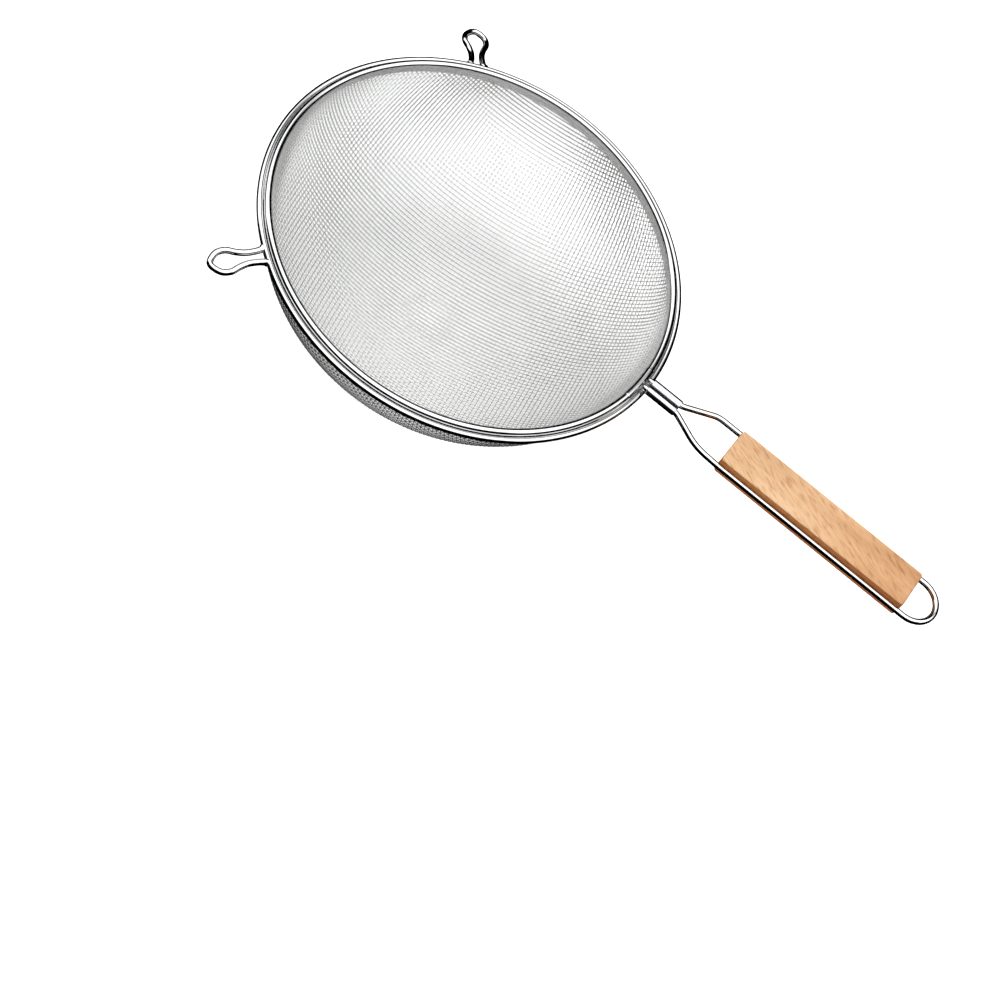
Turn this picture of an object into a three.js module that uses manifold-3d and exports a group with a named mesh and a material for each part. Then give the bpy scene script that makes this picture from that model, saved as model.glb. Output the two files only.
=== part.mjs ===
// Double-mesh hand strainer with a wire-and-wood handle.
// Millimetres, +Z up. The rim lies level and the handle runs along +X, rising a little.
// Every piece is first placed about the rim's centre, with z = 0 a little above the hoop. The last lines move
// the origin to the middle of the whole object's footprint, level with the bottom of the bowl.

import * as THREE from 'three';
import { mergeVertices } from 'three/addons/utils/BufferGeometryUtils.js';
import Module from 'manifold-3d';

const wasm = await Module();
wasm.setup();

// ---- driving dimensions ----

const GAP = 0.3;                 // left between pieces that touch
const RING_SEGMENTS = 72;        // facets round every ring, the same for all so that their gaps stay even

// bowl: half an ellipsoid of woven wire, in two layers
const CLOTH_RADIUS = 125.2;      // outside of the outer cloth at the rim
const BOWL_DEPTH = 86;           // outside of the outer cloth, from BOWL_TOP_Z down
const BOWL_TOP_Z = -1;
const CLOTH_EDGE_Z = -0.4;       // where both cloths end, inside the rolled bead
const OUTER_CLOTH = 0.5;         // one wire thick
const INNER_CLOTH = 0.3;
const BOWL_STEPS = 9;

// rim band: sheet rolled into a bead, with a long leg inside the bowl and a short one outside
const SHEET = 0.5;
const BEAD_RADIUS = 2.3;
const BEAD_CENTRE = { r: 124.3, z: 0.5 };
const INNER_LEG = { face: -1.4, bottom: -5.2 };    // inside face from the bead's centre, and lower edge
const OUTER_LEG = { face: 1.9, bottom: -2.3 };
const CORE_WIRE_RADIUS = 0.9;
const CORE_WIRE_Z = 1.0;

// lapped joint, where one end of the band covers the other, by the handle
const LAP_START = -7;            // degrees round the rim, 0 at the handle
const LAP_END = 5;
const LAP_STEPS = 4;
const LAP_RADIUS = 2.65;
const LAP_CENTRE = { r: 124.1, z: 0.65 };
const LAP_LEG = { face: -1.85, bottom: -5.5 };

// drawn wire, used for the hoop, the hooks and the handle
const WIRE_RADIUS = 1.9;
const WIRE_SIDES = 8;
const HOOP_RADIUS = 128.5;
const HOOP_Z = -1.3;

// hooks: two keyhole loops that rest on a pail's rim, in their own frame with +X away from the bowl
const HOOK_ANGLE = 126.1;        // degrees either way from the handle
const HOOK_DROP = 9;             // degrees below level
const HOOK_FOOT = 4.0;           // half the distance between the two feet
const HOOK_NECK = 3.45;
const HOOK_BULGE = 6.9;
const HOOK_LENGTH = 29.8;        // to the wire's centre line at the tip

// handle, in its own frame with +X along it and z = 0 at the wires' centre lines
const HANDLE_ROOT_Z = 3.2;       // on top of the hoop
const HANDLE_RISE = 3.2;         // degrees above level
const ROOT_SPACING = 3.1;        // half the distance between the wires in the ferrule
const GRIP_SPACING = 14.25;      // half the distance between the wires beside the grip
const WIRE_START = -1.3;         // the wires' ends, against the bead
const FORK_START = 22.6;
const FORK_LEFT = { x: 43.2, y: 14.25, bend: 3.5 };
const FORK_RIGHT = { x: 43.4, y: -13.4, bend: 7 };
const GRIP_START = 59.2;
const GRIP_END = 190.1;
const LOOP_CENTRE = 193.8;       // the hanging loop is a half circle round this point
const BEND_STEPS = 4;
const LOOP_STEPS = 14;

// ferrule: sheet folded round the two wires, with a seam underneath
const FERRULE_START = 1.6;
const FERRULE_END = 22.0;
const FERRULE_SHEET = 0.6;
const FERRULE_SEAM = 0.6;

// wooden grip
const GRIP_WIDTH = 27.4;
const GRIP_THICKNESS = 12.4;
const GRIP_CORNER = 2;
const GRIP_EDGE = 0.9;
const GROOVE_SIDES = 16;

// ---- helpers ----

const rad = THREE.MathUtils.degToRad;

function solidOf(geometry) {
  const bare = geometry.clone();
  bare.deleteAttribute('normal');
  bare.deleteAttribute('uv');
  const merged = mergeVertices(bare, 1e-4);
  return new wasm.Manifold(new wasm.Mesh({
    numProp: 3,
    vertProperties: new Float32Array(merged.attributes.position.array),
    triVerts: new Uint32Array(merged.index.array),
  }));
}

function geometryOf(solid) {
  const mesh = solid.getMesh();
  const geometry = new THREE.BufferGeometry();
  geometry.setAttribute('position', new THREE.BufferAttribute(mesh.vertProperties.slice(), 3));
  geometry.setIndex(new THREE.BufferAttribute(mesh.triVerts.slice(), 1));
  geometry.computeVertexNormals();
  return geometry;
}

function metal(colour, roughness) {
  return new THREE.MeshStandardMaterial({ color: colour, roughness, metalness: 1 });
}

function named(name, geometry, material) {
  const mesh = new THREE.Mesh(geometry, material);
  mesh.name = name;
  return mesh;
}

// A ring from an outline given as [radius, z] points, closed on itself unless it starts and ends on the axis.
// LatheGeometry turns about Y, so the ring is stood up.
function ring(outline) {
  const points = outline.map(([r, z]) => new THREE.Vector2(r, z));
  if (points[0].x > 0) points.push(points[0].clone());
  return new THREE.LatheGeometry(points, RING_SEGMENTS).rotateX(Math.PI / 2);
}

// Points of an arc about a centre, in degrees, both ends included.
function arc(centre, radius, from, to, steps) {
  return Array.from({ length: steps + 1 }, (_, i) => {
    const a = rad(from + (to - from) * i / steps);
    return [centre.r + radius * Math.cos(a), centre.z + radius * Math.sin(a)];
  });
}

// The angle below the centre, in degrees, at which a circle of this radius is offset sideways by x.
function angleBelow(x, radius) {
  return THREE.MathUtils.radToDeg(Math.atan2(-Math.sqrt(radius * radius - x * x), x));
}

// A curve that steps through its own stations, so that bends get short steps and straight runs get long ones.
class StationCurve extends THREE.Curve {
  constructor(stations) {
    super();
    this.stations = stations;
  }

  getPointAt(u) {
    return this.stations[Math.round(u * (this.stations.length - 1))].clone();
  }

  getTangentAt(u) {
    const last = this.stations.length - 1;
    const i = Math.round(u * last);
    const before = this.stations[Math.max(i - 1, 0)];
    const here = this.stations[i];
    const after = this.stations[Math.min(i + 1, last)];
    const inward = here.clone().sub(before).normalize();
    const outward = after.clone().sub(here).normalize();
    return inward.add(outward).normalize();
  }
}

function wireAlong(stations, radius) {
  const section = Array.from({ length: WIRE_SIDES }, (_, i) => {
    const a = 2 * Math.PI * (i + 0.5) / WIRE_SIDES;
    return new THREE.Vector2(radius * Math.cos(a), radius * Math.sin(a));
  });
  return new THREE.ExtrudeGeometry(new THREE.Shape(section), {
    steps: stations.length - 1,
    extrudePath: new StationCurve(stations),
  });
}

// Stations along straight runs between corners, each corner rounded over its own distance either side.
function bentPath(corners) {
  const stations = [];
  corners.forEach(({ at, bend }, i) => {
    if (!bend) {
      stations.push(at);
      return;
    }
    const before = corners[i - 1].at.clone().sub(at).setLength(bend).add(at);
    const after = corners[i + 1].at.clone().sub(at).setLength(bend).add(at);
    stations.push(...new THREE.QuadraticBezierCurve3(before, at, after).getPoints(BEND_STEPS));
  });
  return stations;
}

// ---- bowl ----

// One layer of cloth: its outside is the outer ellipse drawn in by offset.
function cloth(offset, thickness) {
  const wall = (inset) => {
    const points = [];
    for (let i = 0; i <= BOWL_STEPS; i += 1) {
      const a = Math.PI / 2 * i / BOWL_STEPS;
      const r = (CLOTH_RADIUS - inset) * Math.sin(a);
      points.push([i === 0 ? 0 : r, BOWL_TOP_Z - (BOWL_DEPTH - inset) * Math.cos(a)]);
    }
    points.push([CLOTH_RADIUS - inset, CLOTH_EDGE_Z]);
    return points;
  };
  return ring([...wall(offset), ...wall(offset + thickness).reverse()]);
}

function outerMesh() {
  return named('outer_mesh', cloth(0, OUTER_CLOTH), metal(0xd2d2d0, 0.4));
}

function innerMesh() {
  return named('inner_mesh', cloth(OUTER_CLOTH + GAP, INNER_CLOTH), metal(0xe2e2e0, 0.35));
}

// ---- rim ----

function bandOutline() {
  const inside = BEAD_RADIUS - SHEET;
  const innerFace = INNER_LEG.face;
  const outerFace = OUTER_LEG.face;
  const { r } = BEAD_CENTRE;
  const overTop = (radius, left, right, steps) => (
    arc(BEAD_CENTRE, radius, 360 + angleBelow(left, radius), angleBelow(right, radius), steps)
  );
  return [
    [r + innerFace, INNER_LEG.bottom],
    ...overTop(BEAD_RADIUS, innerFace, outerFace, 9),
    [r + outerFace, OUTER_LEG.bottom],
    [r + outerFace - SHEET, OUTER_LEG.bottom],
    ...overTop(inside, innerFace + SHEET, outerFace - SHEET, 7).reverse(),
    [r + innerFace + SHEET, INNER_LEG.bottom],
  ];
}

// The lapping end: a second thickness of sheet over the bead's top and inner leg, reaching into the band below it.
function lapOutline() {
  const { r } = BEAD_CENTRE;
  const middle = BEAD_RADIUS - SHEET / 2;
  const legMiddle = INNER_LEG.face + SHEET / 2;
  return [
    [r + LAP_LEG.face, LAP_LEG.bottom],
    ...arc(LAP_CENTRE, LAP_RADIUS, 360 + angleBelow(LAP_LEG.face, LAP_RADIUS), -12, 7),
    ...arc(BEAD_CENTRE, middle, -12, 360 + angleBelow(legMiddle, middle), 7),
    [r + legMiddle, LAP_LEG.bottom],
  ];
}

function lap() {
  const stations = Array.from({ length: LAP_STEPS + 1 }, (_, i) => {
    const a = rad(LAP_START + (LAP_END - LAP_START) * i / LAP_STEPS);
    return new THREE.Vector3(Math.cos(a), Math.sin(a), 0).multiplyScalar(BEAD_CENTRE.r);
  });
  // Swept along a level arc, a section's x points down and its y points at the axis.
  const section = lapOutline().map(([r, z]) => new THREE.Vector2(-z, BEAD_CENTRE.r - r));
  return new THREE.ExtrudeGeometry(new THREE.Shape(section), {
    steps: LAP_STEPS,
    extrudePath: new StationCurve(stations),
  });
}

function rimBand() {
  const band = solidOf(ring(bandOutline().reverse()));
  return named('rim_band', geometryOf(band.add(solidOf(lap()))), metal(0xe6e7e8, 0.15));
}

function rimCoreWire() {
  const geometry = new THREE.TorusGeometry(BEAD_CENTRE.r, CORE_WIRE_RADIUS, 6, RING_SEGMENTS);
  return named('rim_core_wire', geometry.translate(0, 0, CORE_WIRE_Z), metal(0xb9babb, 0.4));
}

function supportHoop() {
  const geometry = new THREE.TorusGeometry(HOOP_RADIUS, WIRE_RADIUS, WIRE_SIDES, RING_SEGMENTS);
  return named('support_hoop', geometry.translate(0, 0, HOOP_Z), metal(0xe0e1e2, 0.15));
}

// ---- hooks ----

function hook(name, angle) {
  const half = [[0, HOOK_FOOT], [3, HOOK_NECK + 0.1], [9, HOOK_NECK], [14, HOOK_NECK + 1.2],
    [20, HOOK_BULGE], [25.4, HOOK_BULGE - 1]];
  const outline = [
    ...half,
    [HOOK_LENGTH, 0],
    ...half.slice().reverse().map(([x, y]) => [x, -y]),
  ];
  const curve = new THREE.CatmullRomCurve3(outline.map(([x, y]) => new THREE.Vector3(x, y, 0)));
  const mesh = named(name, wireAlong(curve.getPoints(30), WIRE_RADIUS), metal(0xdedfe0, 0.15));
  const tilted = new THREE.Group().add(mesh);
  tilted.position.set(HOOP_RADIUS + WIRE_RADIUS + GAP, 0, HOOP_Z);
  tilted.rotation.y = rad(HOOK_DROP);
  const turned = new THREE.Group().add(tilted);
  turned.rotation.z = rad(angle);
  return turned;
}

// ---- handle ----

function handleWire() {
  const point = (x, y) => new THREE.Vector3(x, y, 0);
  const side = (s, fork) => [
    { at: point(WIRE_START, s * ROOT_SPACING) },
    { at: point(FORK_START, s * ROOT_SPACING), bend: 2.5 },
    { at: point(fork.x, fork.y), bend: fork.bend },
    { at: point(GRIP_START - 1.5, s * GRIP_SPACING), bend: 1 },
    { at: point(LOOP_CENTRE, s * GRIP_SPACING) },
  ];
  const loop = Array.from({ length: LOOP_STEPS - 1 }, (_, i) => {
    const a = Math.PI / 2 - Math.PI * (i + 1) / LOOP_STEPS;
    return point(LOOP_CENTRE + GRIP_SPACING * Math.cos(a), GRIP_SPACING * Math.sin(a));
  });
  const stations = [
    ...bentPath(side(1, FORK_LEFT)),
    ...loop,
    ...bentPath(side(-1, FORK_RIGHT)).reverse(),
  ];
  return named('handle_wire', wireAlong(stations, WIRE_RADIUS), metal(0xdedfe0, 0.15));
}

// Half a turn of the sleeve's wall round one wire, seen from the handle's end.
function sleeveEnd(side, radius, backwards) {
  const steps = 6;
  const points = Array.from({ length: steps + 1 }, (_, i) => {
    const a = -Math.PI / 2 + Math.PI * i / steps;
    return [side * (ROOT_SPACING + radius * Math.cos(a)), radius * Math.sin(a)];
  });
  return backwards ? points.reverse() : points;
}

function handleFerrule() {
  const inner = WIRE_RADIUS + GAP;
  const outer = inner + FERRULE_SHEET;
  const seam = FERRULE_SEAM / 2;
  const outline = [
    [seam, -outer], ...sleeveEnd(1, outer, false), ...sleeveEnd(-1, outer, true), [-seam, -outer],
    [-seam, -inner], ...sleeveEnd(-1, inner, false), ...sleeveEnd(1, inner, true), [seam, -inner],
  ];
  const shape = new THREE.Shape(outline.map(([y, z]) => new THREE.Vector2(y, z)));
  const geometry = new THREE.ExtrudeGeometry(shape, {
    depth: FERRULE_END - FERRULE_START,
    bevelEnabled: false,
  });
  // The shape's x is the handle's +Y, its y is +Z and its depth is +X.
  geometry.rotateX(Math.PI / 2).rotateZ(Math.PI / 2).translate(FERRULE_START, 0, 0);
  return named('handle_ferrule', geometry, metal(0xd8d8de, 0.2));
}

function woodGrip() {
  const long = GRIP_END - GRIP_START;
  const [x, y] = [long / 2, GRIP_WIDTH / 2];
  const c = GRIP_CORNER;
  const plan = new THREE.Shape();
  plan.moveTo(-x + c, -y);
  plan.lineTo(x - c, -y);
  plan.absarc(x - c, -y + c, c, -Math.PI / 2, 0);
  plan.lineTo(x, y - c);
  plan.absarc(x - c, y - c, c, 0, Math.PI / 2);
  plan.lineTo(-x + c, y);
  plan.absarc(-x + c, y - c, c, Math.PI / 2, Math.PI);
  plan.lineTo(-x, -y + c);
  plan.absarc(-x + c, -y + c, c, Math.PI, 1.5 * Math.PI);
  const slab = new THREE.ExtrudeGeometry(plan, {
    depth: GRIP_THICKNESS - 2 * GRIP_EDGE,
    bevelThickness: GRIP_EDGE,
    bevelSize: GRIP_EDGE,
    bevelOffset: -GRIP_EDGE,
    bevelSegments: 3,
    curveSegments: 4,
  }).translate(0, 0, GRIP_EDGE - GRIP_THICKNESS / 2);
  let grip = solidOf(slab);
  for (const s of [1, -1]) {
    const groove = new THREE.CylinderGeometry(WIRE_RADIUS + GAP, WIRE_RADIUS + GAP, long + 10, GROOVE_SIDES);
    grip = grip.subtract(solidOf(groove.rotateZ(Math.PI / 2).translate(0, s * GRIP_SPACING, 0)));
  }
  const wood = new THREE.MeshStandardMaterial({ color: 0xdca878, roughness: 0.6, metalness: 0 });
  return named('wood_grip', geometryOf(grip).translate(GRIP_START + long / 2, 0, 0), wood);
}

function handle() {
  const group = new THREE.Group().add(handleWire(), handleFerrule(), woodGrip());
  group.position.set(HOOP_RADIUS, 0, HANDLE_ROOT_Z);
  group.rotation.y = -rad(HANDLE_RISE);
  return group;
}

// ---- the whole strainer ----

const strainer = new THREE.Group();
strainer.add(
  innerMesh(),
  outerMesh(),
  rimBand(),
  rimCoreWire(),
  supportHoop(),
  hook('hook_left', HOOK_ANGLE),
  hook('hook_right', -HOOK_ANGLE),
  handle(),
);
strainer.updateMatrixWorld(true);
const extent = new THREE.Box3().setFromObject(strainer, true);
strainer.position.set(-(extent.min.x + extent.max.x) / 2, 0, -extent.min.z);

export default strainer;
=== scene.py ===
"""Looks of the double-mesh strainer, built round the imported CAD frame.

Blender's units are metres in the row frame: +Z up, the handle along +X. The pieces are worked out in
millimetres about the rim's centre, as the CAD is, and moved into the row frame when their meshes are made.
"""

import math

import bpy
import numpy as np
from mathutils import Matrix, Vector


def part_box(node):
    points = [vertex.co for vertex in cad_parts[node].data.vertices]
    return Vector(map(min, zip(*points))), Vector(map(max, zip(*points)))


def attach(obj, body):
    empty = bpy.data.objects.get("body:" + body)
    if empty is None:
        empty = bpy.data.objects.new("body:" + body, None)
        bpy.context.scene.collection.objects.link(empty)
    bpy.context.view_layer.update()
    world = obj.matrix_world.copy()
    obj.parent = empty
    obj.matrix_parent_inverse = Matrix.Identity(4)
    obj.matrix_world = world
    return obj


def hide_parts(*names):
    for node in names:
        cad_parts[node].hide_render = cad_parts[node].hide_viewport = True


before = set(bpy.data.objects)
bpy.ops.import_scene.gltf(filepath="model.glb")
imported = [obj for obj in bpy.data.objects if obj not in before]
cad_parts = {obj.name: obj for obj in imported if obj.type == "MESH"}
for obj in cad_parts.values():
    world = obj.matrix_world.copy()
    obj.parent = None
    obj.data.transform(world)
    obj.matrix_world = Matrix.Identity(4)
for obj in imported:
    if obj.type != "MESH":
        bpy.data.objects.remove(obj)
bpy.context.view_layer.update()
MM = 0.001

# ---- driving dimensions, in millimetres and degrees ----

WIRE_RADIUS = 1.9
WELD_GAP = 0.3              # between neighbouring solids, as in the CAD

CLOTH_RADIUS = 125.2
BOWL_DEPTH = 86.0
BOWL_TOP_Z = -1.0
CLOTH_EDGE_Z = -0.4
CLOTH_TWIST = 11.0          # the weave's own direction, from the handle's

OUTER_PITCH = 2.76
OUTER_WIRE = 0.3            # radius
OUTER_INSET = 0.6           # of the cloth's middle, from the bowl's outer ellipse
OUTER_SIDES = 6
INNER_PITCH = 1.38
INNER_WIRE = 0.14
INNER_INSET = 1.54
INNER_SIDES = 3
BOWL_STEPS = 2001
LAST_CROSSING = 0.3         # of a pitch, the least run from a wire's last crossing to its end
LAST_ROW = 0.5              # of a pitch, the least way from the outermost wire to the cloth's edge

BEAD_R, BEAD_Z = 124.3, 0.5
BEAD_RADIUS = 2.3
SHEET = 0.5
INNER_LEG_R = 123.15        # middle of the sheet
INNER_LEG_Z = -5.2
OUTER_LEG_R = 125.95
OUTER_LEG_Z = -2.3
BEAD_STEPS = 90
BEAD_SPACING = 0.12
BEAD_SOFTENING = 5          # passes
BAND_STATIONS = 360
TIP_TURN = 60               # a sheet's rounded edge, either side of its middle
TIP_POINTS = 5
LAP_START, LAP_END = -7.0, 5.0
LAP_EASE = (0.0, 0.12, 0.3)  # degrees from either end of the lap to its first stations
LAP_STEPS = 24
LAP_SHEET = 0.42
LAP_REACH = 0.80            # of the band's section, from the inner leg's edge
LAP_END_SCALE = 0.985

HOOP_RADIUS = 128.5
HOOP_Z = -1.3
HOOP_STATIONS = 400
HOOP_SIDES = 24
BENT_SIDES = 20             # round the hooks' wires and the handle's

HOOK_ANGLE = 126.1
HOOK_DROP = 9.0
HOOK_OUTLINE = ((0, 4.0), (3, 3.55), (9, 3.45), (14, 4.65), (20, 6.9), (25.4, 5.9), (29.8, 0))
HOOK_ROOT = ((-1.4, 0.9), (-0.7, 0.4))  # where each end runs on to the hoop, from the outline's end
HOOK_STEPS = 24             # between two points of the outline
HOOK_SPACING = 0.7
WELD_SWELL = 0.55           # how much thicker a hook's wire is at its weld
WELD_STATIONS = 1.8         # over which the swelling fades

HANDLE_ROOT_Z = 3.2
HANDLE_RISE = 3.2
ROOT_SPACING = 3.1
GRIP_SPACING = 14.25
WIRE_START = -1.3
FORK_START = 22.6
FORK_START_BEND = 2.5       # how far a bend reaches either side of its corner
FORK_LEFT = (43.2, 14.25, 3.5)     # x, y and bend
FORK_RIGHT = (43.4, -13.4, 7.0)
GRIP_START, GRIP_END = 59.2, 190.1
GRIP_LEAD = 1.5             # from the corner before the grip to the grip
GRIP_LEAD_BEND = 2.0
LOOP_CENTRE = 193.8
LOOP_TURN = 88              # either side of straight ahead
LOOP_STATIONS = 45
HANDLE_SPACING = 1.0
WIRE_END_SCALE = 0.8
FERRULE_START, FERRULE_END = 1.6, 22.0
FERRULE_SHEET = 0.6
FERRULE_SEAM = 0.6
FERRULE_FIT = 0.15          # between the wires and the sleeve's inside
FERRULE_DISH = 0.45         # how far the sleeve is pressed in between the wires
FERRULE_DISH_POWER = 0.6
FERRULE_EASE = (0, 0.12, 0.35)  # from either end of the sleeve to its first stations
FERRULE_LEAD = 1            # from either end to the even stations
FERRULE_STEPS = 12
FERRULE_ROUND = 0.35
FERRULE_DRAW = 0.22         # how far its ends are rounded in
GRIP_WIDTH = 27.4
GRIP_THICKNESS = 12.4
GRIP_CORNER = 2.0
GRIP_EDGE = 0.9
GRIP_EASE = (0, 0.05, 0.15, 0.35, 0.6, 0.95, 1.35, 1.6, 2.1, 3.0)  # from either end to its first stations
GRIP_EASED = 6              # from either end to the even stations
GRIP_STEPS = 40
EDGE_POINTS, WALL_POINTS, GROOVE_POINTS, TOP_POINTS = 9, 4, 15, 14  # of the grip's section
GROOVE_RADIUS = 2.1
SIDE_SLOPE = 0.6            # faces steeper than this are the grip's sides and ends, which get a darker, redder beech as painted shade
LOOP_SHADE_SPAN = (0.115, 0.205)    # metres along the row's X over which painted shade darkens and warms the wood towards the loop

# The camera: degrees round and above the rim, and how far it is turned about its own axis.
CAMERA_AZIMUTH = 1.48
CAMERA_ELEVATION = 55.70
CAMERA_ROLL = 39.82
CAMERA_DISTANCE = 1159.0
CAMERA_ASIDE = 13.4
CAMERA_BELOW = 149.4
CAMERA_LENS = 72.36
CAMERA_SENSOR = 36

# The studio. Its canopy is white towards TENT_AXIS, and its dark parts are given as limits on the parts of a
# direction, between which the canopy goes from dark to white or from white to dark.
TENT_AXIS = (0, -0.56, 0.83)
TENT_EDGE = (0.14, 0.28)
OPENING_Y, OPENING_Z = (-0.22, -0.12), (0.66, 0.74)
GAP_X, GAP_Y, GAP_Z = (0.24, 0.34), (0.1, 0.2), (0.74, 0.8)
PANEL_X, PANEL_Y, PANEL_Z = (0.2, 0.3), (0.45, 0.6), (0.52, 0.62)
CANOPY_STRENGTH = 1.6
BACKDROP_STRENGTH = 1.3
FLOOR_HALF = 4.0            # metres
FLOOR_GLOW = 0.45

# ---- frames ----


def rim_origin():
    """The rim's centre in the row frame, in metres, from the hoop's box."""
    low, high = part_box("support_hoop")
    middle = (low + high) / 2
    return np.array([middle.x, middle.y, middle.z - HOOP_Z * MM])


RIM = rim_origin()


def turn_about(axis, degrees):
    return np.array(Matrix.Rotation(math.radians(degrees), 3, axis))


def handle_frame(points):
    """From the handle's own frame, +X along it from the hoop, to the rim's."""
    return points @ turn_about("Y", -HANDLE_RISE).T + [HOOP_RADIUS, 0, HANDLE_ROOT_Z]


def hook_frame(points, angle):
    """From a hook's own frame, +X away from the bowl and z = 0 at its wire's middle, to the rim's."""
    out = points @ turn_about("Y", HOOK_DROP).T + [HOOP_RADIUS, 0, HOOP_Z]
    return out @ turn_about("Z", angle).T


# ---- mesh making ----


def unit(v):
    """The same directions with length 1."""
    return v / np.maximum(np.linalg.norm(v, axis=-1, keepdims=True), 1e-12)


def build(name, points, faces, material, sharp=None):
    """A mesh object from points in millimetres about the rim's centre and arrays of faces."""
    mesh = bpy.data.meshes.new(name)
    loops = np.concatenate([f.ravel() for f in faces]).astype(np.int32)
    sizes = np.concatenate([np.full(len(f), f.shape[1]) for f in faces])
    starts = np.concatenate([[0], np.cumsum(sizes)[:-1]]).astype(np.int32)
    mesh.vertices.add(len(points))
    mesh.vertices.foreach_set("co", (points * MM + RIM).astype(np.float32).ravel())
    mesh.loops.add(len(loops))
    mesh.loops.foreach_set("vertex_index", loops)
    mesh.polygons.add(len(sizes))
    mesh.polygons.foreach_set("loop_start", starts)
    mesh.polygons.foreach_set("use_smooth", np.ones(len(sizes), bool))
    mesh.update(calc_edges=True)
    mesh.validate()
    if sharp:
        mesh.set_sharp_from_angle(angle=math.radians(sharp))
    mesh.materials.append(material)
    obj = bpy.data.objects.new(name, mesh)
    bpy.context.scene.collection.objects.link(obj)
    return obj


def place(obj, slot, *nodes):
    """Put a piece on the body and hide the CAD nodes it stands for; its finish, slot, is not used."""
    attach(obj, "root")
    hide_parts(*nodes)


def skin(rings, closed=False):
    """Points and quads of a tube through rings of points, an array (stations, sides, 3)."""
    count, sides, _ = rings.shape
    index = np.arange(count * sides).reshape(count, sides)
    here = index if closed else index[:-1]
    ahead = np.roll(index, -1, axis=0) if closed else index[1:]
    quads = np.stack([here, np.roll(here, -1, 1), np.roll(ahead, -1, 1), ahead], -1)
    return rings.reshape(-1, 3), quads.reshape(-1, 4)


def capped(rings):
    """A tube closed at both ends with flat faces."""
    points, quads = skin(rings)
    count, sides, _ = rings.shape
    start = np.arange(sides)[::-1][None]
    end = (np.arange(sides) + (count - 1) * sides)[None]
    return points, [quads, start, end]


def section_frames(path, up, closed=False):
    """Sideways and upward directions at each station of a path, for sweeping a section."""
    if closed:
        tangent = np.roll(path, -1, 0) - np.roll(path, 1, 0)
    else:
        tangent = np.gradient(path, axis=0)
    tangent = unit(tangent)
    aside = unit(np.cross(np.broadcast_to(up, path.shape), tangent))
    return aside, np.cross(tangent, aside)


def circles(aside, above, angles):
    """A circle of radius 1 at each station, an array (stations, angles, 3)."""
    c, s = np.cos(angles)[None, :, None], np.sin(angles)[None, :, None]
    return c * aside[:, None] + s * above[:, None]


def wire_rings(path, up, radii, sides, closed=False):
    """Rings of points round a path, for a round wire."""
    aside, above = section_frames(path, up, closed)
    circle = circles(aside, above, 2 * np.pi * np.arange(sides) / sides)
    return path[:, None] + np.broadcast_to(radii, len(path))[:, None, None] * circle


def resample(points, spacing):
    """The same polyline with even steps."""
    steps = np.linalg.norm(np.diff(points, axis=0), axis=1)
    along = np.concatenate([[0], np.cumsum(steps)])
    count = max(int(round(along[-1] / spacing)), 2)
    wanted = np.linspace(0, along[-1], count + 1)
    return np.stack([np.interp(wanted, along, points[:, k]) for k in range(points.shape[1])], 1)


def rounded_corner(before, at, after, bend, steps=10):
    """Points round a corner, leaving the straight runs a distance bend either side of it."""
    before, at, after = (np.array(p, float) for p in (before, at, after))
    start = at + bend * unit(before - at)
    end = at + bend * unit(after - at)
    t = np.linspace(0, 1, steps + 1)[:, None]
    return (1 - t) ** 2 * start + 2 * t * (1 - t) * at + t**2 * end


def catmull(points, steps):
    """A centripetal curve through the points."""
    points = np.array(points, float)
    ends = [2 * points[0] - points[1], *points, 2 * points[-1] - points[-2]]
    curve = []
    for a, b, c, d in zip(ends[:-3], ends[1:-2], ends[2:-1], ends[3:]):
        t0, t1 = 0.0, np.linalg.norm(b - a) ** 0.5
        t2 = t1 + np.linalg.norm(c - b) ** 0.5
        t3 = t2 + np.linalg.norm(d - c) ** 0.5
        t = np.linspace(t1, t2, steps, endpoint=False)[:, None]
        ab = (t1 - t) / (t1 - t0) * a + (t - t0) / (t1 - t0) * b
        bc = (t2 - t) / (t2 - t1) * b + (t - t1) / (t2 - t1) * c
        cd = (t3 - t) / (t3 - t2) * c + (t - t2) / (t3 - t2) * d
        abc = (t2 - t) / (t2 - t0) * ab + (t - t0) / (t2 - t0) * bc
        bcd = (t3 - t) / (t3 - t1) * bc + (t - t1) / (t3 - t1) * cd
        curve.append((t2 - t) / (t2 - t1) * abc + (t - t1) / (t2 - t1) * bcd)
    return np.concatenate([*curve, [points[-1]]])


# ---- materials ----

BRIGHT = (0.90, 0.90, 0.90)
DULL = (0.80, 0.80, 0.81)
FLECK_TINTS = (
    (0.32, (1.0, 1.0, 1.0)),
    (0.50, (0.96, 0.94, 0.91)),
    (0.60, (0.86, 0.79, 0.71)),
    (0.72, (0.68, 0.54, 0.43)),
)
# painted shade: the wood is multiplied by this darker, warmer tone at the loop end, where less light falls
LOOP_SHADE_TINT = (0.89, 0.78, 0.675)


def new_material(name):
    """A material with its nodes, its links and its shader."""
    material = bpy.data.materials.new(name)
    material.use_nodes = True
    nodes = material.node_tree.nodes
    return material, nodes, material.node_tree.links, nodes["Principled BSDF"]


def noise(nodes, links, scale, detail=3.0, stretch=(1, 1, 1), rough=0.5, turn=(0, 0, 0)):
    """Noise over the object's own place, in cycles per metre, drawn out by stretch and turned by degrees."""
    where = nodes.new("ShaderNodeTexCoord")
    mapping = nodes.new("ShaderNodeMapping")
    mapping.vector_type = "TEXTURE"
    mapping.inputs["Scale"].default_value = [1 / s for s in stretch]
    mapping.inputs["Rotation"].default_value = [math.radians(a) for a in turn]
    texture = nodes.new("ShaderNodeTexNoise")
    texture.inputs["Scale"].default_value = scale
    texture.inputs["Detail"].default_value = detail
    texture.inputs["Roughness"].default_value = rough
    links.new(where.outputs["Object"], mapping.inputs["Vector"])
    links.new(mapping.outputs["Vector"], texture.inputs["Vector"])
    return texture.outputs["Fac"]


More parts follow.
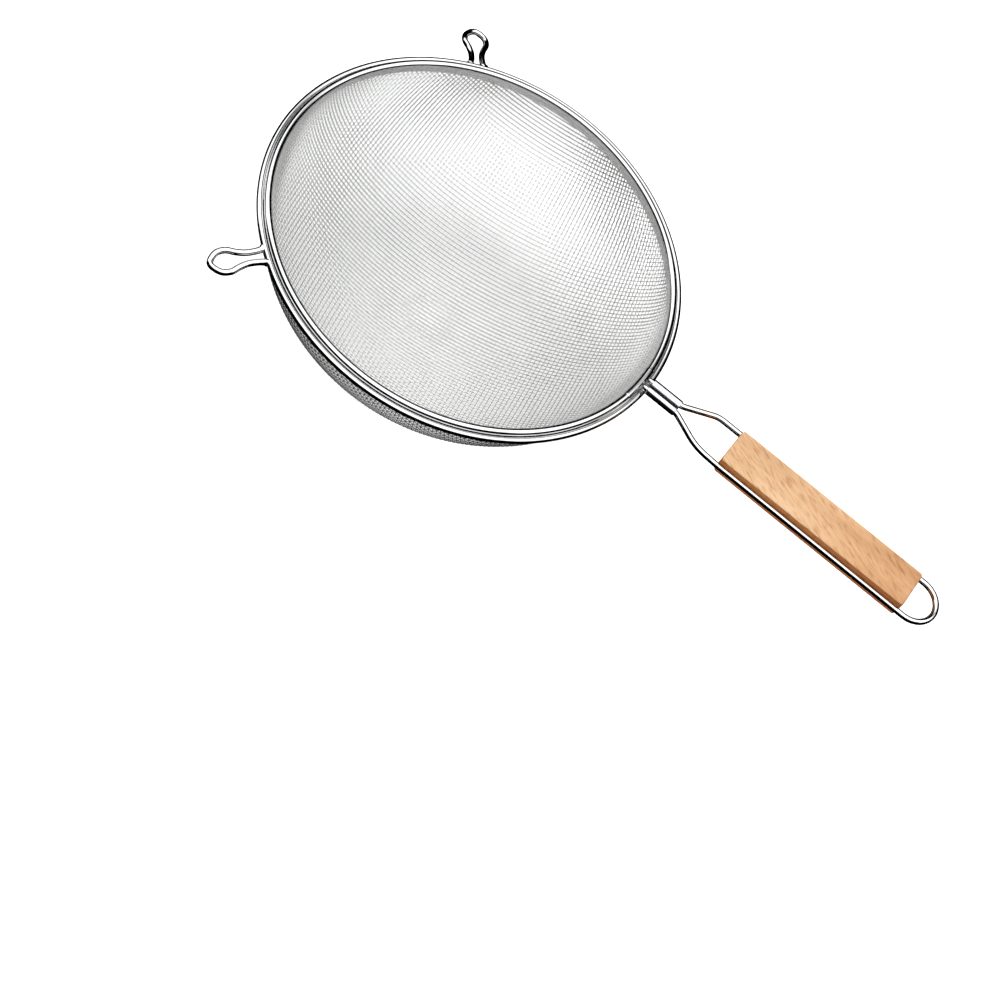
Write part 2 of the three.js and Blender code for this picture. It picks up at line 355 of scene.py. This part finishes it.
def ramp(nodes, links, source, *stops):
    """A colour ramp of (position, colour) stops."""
    node = nodes.new("ShaderNodeValToRGB")
    elements = node.color_ramp.elements
    while len(elements) < len(stops):
        elements.new(0.5)
    for element, (position, colour) in zip(elements, stops):
        element.position = position
        element.color = (*colour, 1)
    links.new(source, node.inputs["Fac"])
    return node.outputs["Color"]


def spread(nodes, links, source, low, high):
    """A 0 to 1 value spread between two others."""
    node = nodes.new("ShaderNodeMapRange")
    node.inputs["To Min"].default_value = low
    node.inputs["To Max"].default_value = high
    links.new(source, node.inputs["Value"])
    return node.outputs["Result"]


def step(nodes, links, source, low, high, rising=True):
    """0 below low and 1 above high, or the other way round."""
    node = nodes.new("ShaderNodeMapRange")
    node.inputs["From Min"].default_value = low
    node.inputs["From Max"].default_value = high
    node.inputs["To Min"].default_value = 0 if rising else 1
    node.inputs["To Max"].default_value = 1 if rising else 0
    node.interpolation_type = "SMOOTHSTEP"
    links.new(source, node.inputs["Value"])
    return node.outputs["Result"]


def bumped(nodes, links, shader, height, strength, distance):
    """Relief on a shader from a 0 to 1 height."""
    node = nodes.new("ShaderNodeBump")
    node.inputs["Strength"].default_value = strength
    node.inputs["Distance"].default_value = distance
    links.new(height, node.inputs["Height"])
    links.new(node.outputs["Normal"], shader.inputs["Normal"])


def steel(name, dark, light, smooth, rough, grain, relief, stretch=(1, 1, 1), metallic=1.0):
    """Stainless steel: a slightly uneven tone and finish, with fine marks grain cycles to the metre."""
    material, nodes, links, shader = new_material(name)
    shader.inputs["Metallic"].default_value = metallic
    cloudy = noise(nodes, links, scale=60, detail=4)
    fine = noise(nodes, links, grain, stretch=stretch, rough=0.6)
    links.new(ramp(nodes, links, cloudy, (0.3, dark), (0.7, light)), shader.inputs["Base Color"])
    links.new(spread(nodes, links, fine, smooth, rough), shader.inputs["Roughness"])
    bumped(nodes, links, shader, fine, relief, distance=0.04 * MM)
    return material


def multiplied(nodes, links, *colours):
    """The product of two colours or more."""
    product = colours[0]
    for colour in colours[1:]:
        node = nodes.new("ShaderNodeMix")
        node.data_type = "RGBA"
        node.blend_type = "MULTIPLY"
        node.inputs[0].default_value = 1.0
        first, second = [socket for socket in node.inputs if socket.type == "RGBA"]
        links.new(product, first)
        links.new(colour, second)
        product = [socket for socket in node.outputs if socket.type == "RGBA"][0]
    return product


def beech(name, low, middle, high, specular):
    """Light beech: bands of tone along the grip, brown flecks across them, and painted shade, darker and
    warmer, towards the loop.
    """
    material, nodes, links, shader = new_material(name)
    bands = noise(nodes, links, scale=95, stretch=(0.12, 1, 1))
    base = ramp(nodes, links, bands, (0.3, low), (0.5, middle), (0.72, high))
    flecks = noise(nodes, links, scale=620, detail=2, stretch=(0.2, 1, 1), rough=0.55, turn=(0, 0, -24))
    tint = ramp(nodes, links, flecks, *FLECK_TINTS)
    where = nodes.new("ShaderNodeTexCoord")
    split = nodes.new("ShaderNodeSeparateXYZ")
    links.new(where.outputs["Object"], split.inputs["Vector"])
    # painted shade, darker and warmer towards the loop end
    along = step(nodes, links, split.outputs["X"], *LOOP_SHADE_SPAN)
    loop_shade = ramp(nodes, links, along, (0, (1, 1, 1)), (1, LOOP_SHADE_TINT))
    links.new(multiplied(nodes, links, base, tint, loop_shade), shader.inputs["Base Color"])
    links.new(spread(nodes, links, bands, low=0.48, high=0.62), shader.inputs["Roughness"])
    shader.inputs["Specular IOR Level"].default_value = specular
    bumped(nodes, links, shader, flecks, strength=0.35, distance=0.12 * MM)
    return material


# ---- bowl ----


def bowl_table():
    """Arc length from the bottom, radius, height and outward normal up the bowl's ellipse and its skirt."""
    a = np.linspace(0, math.pi / 2, BOWL_STEPS)
    r = CLOTH_RADIUS * np.sin(a)
    z = BOWL_TOP_Z - BOWL_DEPTH * np.cos(a)
    normal = unit(np.stack([BOWL_DEPTH * np.sin(a), -CLOTH_RADIUS * np.cos(a)], 1))
    s = np.concatenate([[0], np.cumsum(np.hypot(np.diff(r), np.diff(z)))])
    s = np.append(s, s[-1] + CLOTH_EDGE_Z - BOWL_TOP_Z)
    r = np.append(r, CLOTH_RADIUS)
    z = np.append(z, CLOTH_EDGE_Z)
    normal = np.vstack([normal, [1, 0]])
    return s, r, z, normal


BOWL = bowl_table()


def on_bowl(u, v, lift):
    """Where places on the flat cloth, in millimetres from its middle, come on the bowl, and the normals."""
    s, r, z, normal = BOWL
    far = np.hypot(u, v)
    theta = np.arctan2(v, u) + math.radians(CLOTH_TWIST)
    outward = np.stack([np.cos(theta), np.sin(theta), np.zeros_like(theta)], 1)
    across = np.interp(far, s, normal[:, 0])[:, None] * outward
    across[:, 2] = np.interp(far, s, normal[:, 1])
    points = np.interp(far, s, r)[:, None] * outward
    points[:, 2] = np.interp(far, s, z)
    return points + lift[:, None] * across, across


def thread(row, pitch, wire, inset, sides, weft):
    """One wire of the cloth, over and under the wires that cross it."""
    reach = BOWL[0][-1]
    offset = row * pitch
    half = math.sqrt(reach**2 - offset**2)
    last = int((half - LAST_CROSSING * pitch) / pitch)
    crossings = np.arange(-last, last + 1)
    way = 1 - 2 * ((crossings + row) % 2)
    along = np.concatenate([[-half], crossings * pitch, [half]])
    lift = -inset + wire * np.concatenate([[0], -way if weft else way, [0]])
    level = np.full_like(along, offset)
    path, normal = on_bowl(level, along, lift) if weft else on_bowl(along, level, lift)
    tangent = unit(np.gradient(path, axis=0))
    aside = unit(np.cross(normal, tangent))
    above = np.cross(tangent, aside)
    angles = 2 * np.pi * (np.arange(sides) + 0.5) / sides
    return path[:, None] + wire * circles(aside, above, angles)


def cloth_part(name, rows, pitch, wire, inset, sides, weft, material):
    """Neighbouring wires of one direction in one mesh."""
    points, quads, ends, count = [], [], [], 0
    for row in rows:
        tube, (body, start, end) = capped(thread(row, pitch, wire, inset, sides, weft))
        points.append(tube)
        quads.append(body + count)
        ends.extend([start + count, end + count])
        count += len(tube)
    return build(name, np.concatenate(points), [np.concatenate(quads), np.concatenate(ends)], material)


def cloth(node, slot, pitch, wire, inset, sides, shares, material):
    """Warp and weft of one layer, each in one piece or more."""
    last = int((BOWL[0][-1] - LAST_ROW * pitch) / pitch)
    rows = np.arange(-last, last + 1)
    for weft, word in ((False, "warp"), (True, "weft")):
        for number, part in enumerate(np.array_split(rows, shares)):
            name = f"{node}_{word}_{number + 1}"
            place(cloth_part(name, part, pitch, wire, inset, sides, weft, material), slot, node)


# ---- rim ----


def bead_path():
    """The middle of the band's sheet: up the inner leg, over the bead and down the outer leg, as (r, z)."""
    middle = BEAD_RADIUS - SHEET / 2
    left = math.degrees(math.acos((INNER_LEG_R - BEAD_R) / middle))
    right = math.degrees(math.acos((OUTER_LEG_R - BEAD_R) / middle))
    a = np.radians(np.linspace(360 - left, -right, BEAD_STEPS))
    over = np.stack([BEAD_R + middle * np.cos(a), BEAD_Z + middle * np.sin(a)], 1)
    path = np.vstack([[INNER_LEG_R, INNER_LEG_Z], over, [OUTER_LEG_R, OUTER_LEG_Z]])
    return softened(resample(path, BEAD_SPACING), BEAD_SOFTENING)


def softened(path, passes):
    """The same path with its corners eased."""
    for _ in range(passes):
        path = np.vstack([path[:1], (path[:-2] + 2 * path[1:-1] + path[2:]) / 4, path[-1:]])
    return path


def sheet_outline(path, thickness):
    """The closed outline of a sheet along a path of (r, z), with rounded edges."""
    along = unit(np.gradient(path, axis=0))
    across = np.stack([-along[:, 1], along[:, 0]], 1)
    half = thickness / 2
    turn = np.radians(np.linspace(-TIP_TURN, TIP_TURN, TIP_POINTS))[:, None]
    tip = path[-1] + half * (np.cos(turn) * along[-1] - np.sin(turn) * across[-1])
    tail = path[0] - half * (np.cos(turn) * along[0] - np.sin(turn) * across[0])
    return np.vstack([path + half * across, tip, (path - half * across)[::-1], tail])


def lathe_rings(outline, angles):
    """The outline, as (r, z), stood at each angle round the axis."""
    r, z = outline[None, :, 0], outline[None, :, 1]
    c, s = np.cos(angles)[:, None], np.sin(angles)[:, None]
    return np.stack([r * c, r * s, np.broadcast_to(z, (len(angles), outline.shape[0]))], -1)


def rim_band(material):
    """The sheet rolled over the cloths' edges."""
    outline = sheet_outline(bead_path(), SHEET)
    angles = 2 * np.pi * np.arange(BAND_STATIONS) / BAND_STATIONS
    points, quads = skin(lathe_rings(outline, angles), closed=True)
    place(build("rim_bead", points, [quads], material, sharp=50), "rim_sheet", "rim_band")


def rim_lap(material):
    """The end of the band that covers its start by the handle."""
    path = bead_path()
    along = unit(np.gradient(path, axis=0))
    outward = np.stack([-along[:, 1], along[:, 0]], 1)
    keep = slice(0, int(len(path) * LAP_REACH))
    outline = sheet_outline((path + LAP_SHEET * outward)[keep], LAP_SHEET)
    span = LAP_END - LAP_START
    edge, eased, even = LAP_EASE
    evenly = np.linspace(even, span - even, LAP_STEPS)
    angles = np.radians(LAP_START + np.concatenate([[edge, eased], evenly, [span - eased, span - edge]]))
    rings = lathe_rings(outline, angles)
    middle = rings.mean(1, keepdims=True)
    for end in (0, -1):
        rings[end] = middle[end] + (rings[end] - middle[end]) * LAP_END_SCALE
    points, faces = capped(rings)
    place(build("rim_lap", points, faces, material, sharp=50), "rim_sheet", "rim_band")


def support_hoop(material):
    """The round wire ring outside the bead."""
    angles = 2 * np.pi * np.arange(HOOP_STATIONS) / HOOP_STATIONS
    x, y = HOOP_RADIUS * np.cos(angles), HOOP_RADIUS * np.sin(angles)
    path = np.column_stack([x, y, np.full(HOOP_STATIONS, HOOP_Z)])
    points, quads = skin(wire_rings(path, (0, 0, 1), WIRE_RADIUS, HOOP_SIDES, closed=True), closed=True)
    place(build("support_hoop_wire", points, [quads], material), "hoop_wire", "support_hoop")


# ---- hooks ----


def hook(name, node, angle, material):
    """A keyhole loop of wire, a little thicker at its two welds."""
    outline = [*HOOK_OUTLINE, *[(x, -y) for x, y in HOOK_OUTLINE[-2::-1]]]
    flat = resample(catmull(outline, HOOK_STEPS), HOOK_SPACING)
    start = WIRE_RADIUS + WELD_GAP
    path = np.column_stack([flat[:, 0] + start, flat[:, 1], np.zeros(len(flat))])
    root = np.array([[start + x, flat[0, 1] + y, 0] for x, y in HOOK_ROOT])
    path = np.vstack([root, path, root[::-1] * [1, -1, 1]])
    near = np.minimum(np.arange(len(path)), np.arange(len(path))[::-1])
    radii = WIRE_RADIUS + WELD_SWELL * np.exp(-near / WELD_STATIONS)
    points, faces = capped(wire_rings(path, (0, 0, 1), radii, BENT_SIDES))
    place(build(name, hook_frame(points, angle), faces, material, sharp=60), "hook_wire", node)


# ---- handle ----


def handle_side(side, fork):
    """One side of the handle's wire, from the hoop through the fork and along the grip."""
    x, y, bend = fork
    corners = [(WIRE_START, side * ROOT_SPACING, 0), (FORK_START, side * ROOT_SPACING, 0), (x, y, 0)]
    corners += [(GRIP_START - GRIP_LEAD, side * GRIP_SPACING, 0), (LOOP_CENTRE, side * GRIP_SPACING, 0)]
    bends = (FORK_START_BEND, bend, GRIP_LEAD_BEND)
    rounded = [rounded_corner(*corners[i : i + 3], reach) for i, reach in enumerate(bends)]
    return np.concatenate([corners[:1], *rounded, corners[-1:]])


def handle_wire(material):
    """One wire along both sides of the grip and round its end."""
    a = np.radians(np.linspace(LOOP_TURN, -LOOP_TURN, LOOP_STATIONS))
    x, y = LOOP_CENTRE + GRIP_SPACING * np.cos(a), GRIP_SPACING * np.sin(a)
    loop = np.column_stack([x, y, np.zeros(LOOP_STATIONS)])
    path = np.concatenate([handle_side(1, FORK_LEFT), loop, handle_side(-1, FORK_RIGHT)[::-1]])
    path = resample(path, HANDLE_SPACING)
    radii = np.full(len(path), WIRE_RADIUS)
    radii[[0, -1]] *= WIRE_END_SCALE
    points, faces = capped(wire_rings(path, (0, 0, 1), radii, BENT_SIDES))
    wire = build("handle_wire_bent", handle_frame(points), faces, material, sharp=60)
    place(wire, "handle_wire", "handle_wire")


def sleeve_outline(radius, half_seam, dish, steps=16):
    """Round both wires from one side of the seam to the other, as (y, z), pressed in between the wires."""
    a = np.radians(np.linspace(-90, 90, steps + 1))
    right = np.stack([ROOT_SPACING + radius * np.cos(a), radius * np.sin(a)], 1)
    over = np.linspace(ROOT_SPACING, -ROOT_SPACING, 2 * steps + 1)[1:-1]
    pressed = radius - dish * (0.5 + 0.5 * np.cos(math.pi * over / ROOT_SPACING)) ** FERRULE_DISH_POWER
    top = np.stack([over, pressed], 1)
    left = right[::-1] * [-1, 1]
    return np.vstack([[half_seam, -radius], right, top, left, [-half_seam, -radius]])


def handle_ferrule(material):
    """A sheet sleeve, pressed flat over the two wires, its ends rounded over a little."""
    inner = WIRE_RADIUS + FERRULE_FIT
    outer = WIRE_RADIUS + WELD_GAP + FERRULE_SHEET
    half = FERRULE_SEAM / 2
    stations = [FERRULE_START + d for d in FERRULE_EASE]
    stations += list(np.linspace(FERRULE_START + FERRULE_LEAD, FERRULE_END - FERRULE_LEAD, FERRULE_STEPS))
    stations += [FERRULE_END - d for d in FERRULE_EASE[::-1]]
    inside = sleeve_outline(inner, half, FERRULE_DISH)
    rings = []
    for x in stations:
        edge = min(x - FERRULE_START, FERRULE_END - x)
        drawn_in = FERRULE_DRAW * max(0.0, 1 - edge / FERRULE_ROUND) ** 2
        outline = np.vstack([sleeve_outline(outer - drawn_in, half, FERRULE_DISH), inside[::-1]])
        rings.append(np.column_stack([np.full(len(outline), x), outline]))
    points, faces = capped(np.array(rings))
    sleeve = build("handle_ferrule_sleeve", handle_frame(points), faces, material, sharp=40)
    place(sleeve, "ferrule_sheet", "handle_ferrule")


def round_in(distance, radius):
    """How far a rounded edge has drawn in, this distance from the end."""
    left = max(radius - distance, 0.0)
    return radius - math.sqrt(max(radius**2 - left**2, 0.0))


def grip_section(distance):
    """The grip's outline as (y, z), this distance from one end, with a groove down either side."""
    half_y = GRIP_WIDTH / 2 - round_in(distance, GRIP_CORNER)
    half_z = GRIP_THICKNESS / 2 - round_in(distance, GRIP_EDGE)
    edge = GRIP_EDGE
    a = np.radians(np.linspace(0, 90, EDGE_POINTS))
    corner = np.stack([half_y - edge + edge * np.cos(a), half_z - edge + edge * np.sin(a)], 1)
    below = np.linspace(-(half_z - edge), -GROOVE_RADIUS, WALL_POINTS)[:-1]
    above = np.linspace(GROOVE_RADIUS, half_z - edge, WALL_POINTS)[1:]
    rows = np.concatenate([below, np.linspace(-1, 1, GROOVE_POINTS) * GROOVE_RADIUS, above])
    groove = GRIP_SPACING - np.sqrt(np.maximum(GROOVE_RADIUS**2 - rows**2, 0))
    side = np.where(np.abs(rows) < GROOVE_RADIUS, np.minimum(half_y, groove), half_y)
    wall = np.stack([side, rows], 1)[:-1]
    flat = np.linspace(half_y - edge, -(half_y - edge), TOP_POINTS)[1:-1]
    top = np.stack([flat, np.full(len(flat), half_z)], 1)
    right = np.vstack([wall, corner])
    left = right[::-1] * [-1, 1]
    bottom_left = corner[:-1] * [-1, -1]
    bottom_right = corner[::-1][:-1] * [1, -1]
    return np.vstack([right, top, left, bottom_left, top[::-1] * [1, -1], bottom_right])


def wood_grip(material, shaded_side_material):
    """The grooved slab, with a darker, redder copy of the beech on its sides and ends as painted shade."""
    length = GRIP_END - GRIP_START
    evenly = np.linspace(GRIP_EASED, length - GRIP_EASED, GRIP_STEPS)
    stations = [*GRIP_EASE, *evenly, *[length - d for d in GRIP_EASE[::-1]]]
    rings = []
    for x in stations:
        outline = grip_section(min(x, length - x))
        rings.append(np.column_stack([np.full(len(outline), GRIP_START + x), outline]))
    points, faces = capped(np.array(rings))
    slab = build("wood_grip_slab", handle_frame(points), faces, material, sharp=35)
    # the sides and ends take the painted-shade copy of the beech
    slab.data.materials.append(shaded_side_material)
    for face in slab.data.polygons:
        face.material_index = int(abs(face.normal.z) < SIDE_SLOPE)
    place(slab, "beech", "wood_grip")


# ---- studio ----


def floor():
    """A plain pale floor under the bowl, which the metal doesn't reflect."""
    material, nodes, links, shader = new_material("studio_floor")
    tone = noise(nodes, links, scale=1.5, detail=2)
    pale = ramp(nodes, links, tone, (0, (0.90, 0.90, 0.90)), (1, (0.93, 0.93, 0.93)))
    links.new(pale, shader.inputs["Base Color"])
    shader.inputs["Roughness"].default_value = 0.9
    shader.inputs["Emission Color"].default_value = (1, 1, 1, 1)
    shader.inputs["Emission Strength"].default_value = FLOOR_GLOW
    mesh = bpy.data.meshes.new("studio_floor")
    corners = [(x * FLOOR_HALF, y * FLOOR_HALF, 0) for x, y in ((-1, -1), (1, -1), (1, 1), (-1, 1))]
    mesh.from_pydata(corners, [], [(0, 1, 2, 3)])
    mesh.materials.append(material)
    obj = bpy.data.objects.new("studio_floor", mesh)
    bpy.context.scene.collection.objects.link(obj)
    obj.visible_glossy = False


def combine(nodes, links, operation, *values):
    """One arithmetic operation taken through two values or more, each a number or a socket."""
    total = values[0]
    for value in values[1:]:
        node = nodes.new("ShaderNodeMath")
        node.operation = operation
        for socket, given in zip(node.inputs, (total, value)):
            if isinstance(given, (int, float)):
                socket.default_value = given
            else:
                links.new(given, socket)
        total = node.outputs["Value"]
    return total


def studio_world():
    """A white canopy over the camera's side and dark on the other, with an opening for the camera, a narrow
    gap at the back and a dark panel to the right."""
    world = bpy.data.worlds.new("studio")
    world.use_nodes = True
    bpy.context.scene.world = world
    nodes, links = world.node_tree.nodes, world.node_tree.links
    background = nodes["Background"]
    where = nodes.new("ShaderNodeTexCoord")
    split = nodes.new("ShaderNodeSeparateXYZ")
    links.new(where.outputs["Generated"], split.inputs["Vector"])
    x, y, z = (split.outputs[axis] for axis in "XYZ")
    sideways = nodes.new("ShaderNodeMath")
    sideways.operation = "ABSOLUTE"
    links.new(x, sideways.inputs[0])
    facing = nodes.new("ShaderNodeVectorMath")
    facing.operation = "DOT_PRODUCT"
    facing.inputs[1].default_value = TENT_AXIS
    links.new(where.outputs["Generated"], facing.inputs[0])

    def rises(source, limits):
        return step(nodes, links, source, *limits)

    def falls(source, limits):
        return step(nodes, links, source, *limits, rising=False)

    def product(*values):
        return combine(nodes, links, "MULTIPLY", *values)

    behind = falls(facing.outputs["Value"], TENT_EDGE)
    opening = product(falls(y, OPENING_Y), falls(z, OPENING_Z))
    gap = product(rises(y, GAP_Y), falls(sideways.outputs["Value"], GAP_X), falls(z, GAP_Z))
    panel = product(rises(x, PANEL_X), falls(y, PANEL_Y), falls(z, PANEL_Z))
    dark = combine(nodes, links, "MAXIMUM", behind, opening, gap, panel)
    canopy = product(combine(nodes, links, "SUBTRACT", 1.0, dark), CANOPY_STRENGTH)
    backdrop = product(nodes.new("ShaderNodeLightPath").outputs["Is Camera Ray"], BACKDROP_STRENGTH)
    strength = combine(nodes, links, "MAXIMUM", canopy, backdrop)
    links.new(strength, background.inputs["Strength"])
    background.inputs["Color"].default_value = (1, 1, 1, 1)


def soft_light(name, place_at, aim, size, watts):
    """A square light that lights the object and isn't reflected in it."""
    data = bpy.data.lights.new(name, "AREA")
    data.shape = "SQUARE"
    data.size = size
    data.energy = watts
    obj = bpy.data.objects.new(name, data)
    obj.location = place_at
    obj.rotation_euler = (Vector(aim) - Vector(place_at)).to_track_quat("-Z", "Y").to_euler()
    obj.visible_glossy = False
    bpy.context.scene.collection.objects.link(obj)


def camera():
    """The camera, set back from the rim's centre, turned about its own axis and moved aside."""
    azimuth, elevation, roll = (math.radians(a) for a in (CAMERA_AZIMUTH, CAMERA_ELEVATION, CAMERA_ROLL))
    right = np.array([math.cos(azimuth), math.sin(azimuth), 0])
    level = math.cos(elevation)
    back = np.array([math.sin(azimuth) * level, -math.cos(azimuth) * level, math.sin(elevation)])
    up = np.cross(back, right)
    turned = right * math.cos(roll) + up * math.sin(roll)
    over = -right * math.sin(roll) + up * math.cos(roll)
    at = (CAMERA_ASIDE * turned - CAMERA_BELOW * over + CAMERA_DISTANCE * back) * MM + RIM
    data = bpy.data.cameras.new("camera")
    data.lens = CAMERA_LENS
    data.sensor_width = CAMERA_SENSOR
    obj = bpy.data.objects.new("camera", data)
    obj.matrix_world = Matrix([[turned[k], over[k], back[k], at[k]] for k in range(3)] + [[0, 0, 0, 1]])
    bpy.context.scene.collection.objects.link(obj)
    bpy.context.scene.camera = obj


# ---- everything ----

CLOTH_OUT = steel(
    "cloth_coarse", dark=(0.58, 0.58, 0.58), light=(0.70, 0.70, 0.69),
    smooth=0.16, rough=0.26, grain=3000, relief=0.15, metallic=0.9,
)
CLOTH_IN = steel(
    "cloth_fine", dark=(0.92, 0.92, 0.91), light=(0.97, 0.97, 0.96),
    smooth=0.35, rough=0.5, grain=4000, relief=0.15, metallic=0.4,
)
RIM_STEEL = steel("rim_polished", DULL, BRIGHT, smooth=0.05, rough=0.12, grain=1800, relief=0.05)
WIRE_STEEL = steel("wire_polished", DULL, BRIGHT, smooth=0.05, rough=0.12, grain=2200, relief=0.05)
FERRULE_STEEL = steel(
    "ferrule_satin", dark=(0.74, 0.74, 0.78), light=(0.82, 0.81, 0.86),
    smooth=0.16, rough=0.26, grain=1500, relief=0.1, stretch=(0.1, 1, 1),
)
CORE_STEEL = steel(
    "core_drawn", dark=(0.5, 0.5, 0.5), light=(0.6, 0.6, 0.6), smooth=0.3, rough=0.45, grain=1200, relief=0.2
)
BEECH = beech(
    "beech", low=(0.54, 0.325, 0.174), middle=(0.617, 0.388, 0.219), high=(0.676, 0.449, 0.271), specular=0.5
)
# painted shade: a darker, redder copy of the beech for the grip's sides and ends, which face away from the
# light
BEECH_SHADED_SIDES = beech(
    "beech_painted_shade", low=(0.40, 0.135, 0.03), middle=(0.47, 0.167, 0.036), high=(0.52, 0.20, 0.05), specular=0.25
)

cloth(
    "outer_mesh", "coarse_cloth", OUTER_PITCH, OUTER_WIRE, OUTER_INSET, OUTER_SIDES,
    shares=1, material=CLOTH_OUT,
)
cloth(
    "inner_mesh", "fine_cloth", INNER_PITCH, INNER_WIRE, INNER_INSET, INNER_SIDES,
    shares=2, material=CLOTH_IN,
)
rim_band(RIM_STEEL)
rim_lap(RIM_STEEL)
support_hoop(WIRE_STEEL)
hook("hook_left_loop", "hook_left", HOOK_ANGLE, WIRE_STEEL)
hook("hook_right_loop", "hook_right", -HOOK_ANGLE, WIRE_STEEL)
handle_wire(WIRE_STEEL)
handle_ferrule(FERRULE_STEEL)
wood_grip(BEECH, BEECH_SHADED_SIDES)
for slot_of_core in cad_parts["rim_core_wire"].material_slots:
    slot_of_core.material = CORE_STEEL

floor()
studio_world()
soft_light("key", place_at=(-0.6, 0.5, 1.4), aim=(-0.05, 0, 0.05), size=1.2, watts=20)
camera()
bpy.context.scene.view_settings.view_transform = "Standard"
